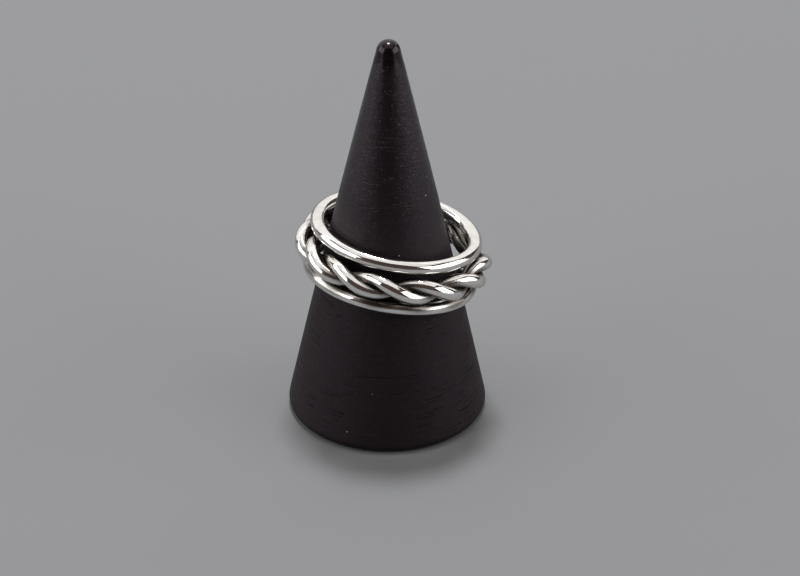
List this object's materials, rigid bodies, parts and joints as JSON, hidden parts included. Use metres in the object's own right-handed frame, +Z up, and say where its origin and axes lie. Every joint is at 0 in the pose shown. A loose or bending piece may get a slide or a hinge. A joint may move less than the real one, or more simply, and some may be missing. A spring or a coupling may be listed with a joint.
{
  "type": "stack of finger rings on a ring cone",
  "caption": "Plain round-wire finger rings with a twisted rope ring between them, resting at a slant on a black display cone. Each ring lifts off.",
  "frame": {"origin": "centre of the cone's flat base", "axes": "+Z up along the cone's axis to its tip, +X to the right, the side that the rings lean down to, +Y to the back"},
  "size_m": [0.0257, 0.0255, 0.052],
  "materials": {
    "black_wood": "turned wood, painted satin black",
    "polished_silver": "polished silver wire with fine wear lines"
  },
  "bodies": {
    "display_cone": {"display_cone": "black_wood"},
    "lower_band": {"lower_band": "polished_silver"},
    "rope_ring": {"rope_strand_a": "polished_silver", "rope_strand_b": "polished_silver"},
    "upper_band": {"upper_band": "polished_silver"}
  },
  "joints": [
    {"name": "stack_lift", "type": "slide", "parent": "display_cone", "child": "lower_band", "axis": [0, 0, 1], "range_m": [0, 0.04]},
    {"name": "rope_lift", "type": "slide", "parent": "lower_band", "child": "rope_ring", "axis": [0, 0, 1], "range_m": [0, 0.036]},
    {"name": "upper_lift", "type": "slide", "parent": "rope_ring", "child": "upper_band", "axis": [0, 0, 1], "range_m": [0, 0.032]}
  ]
}
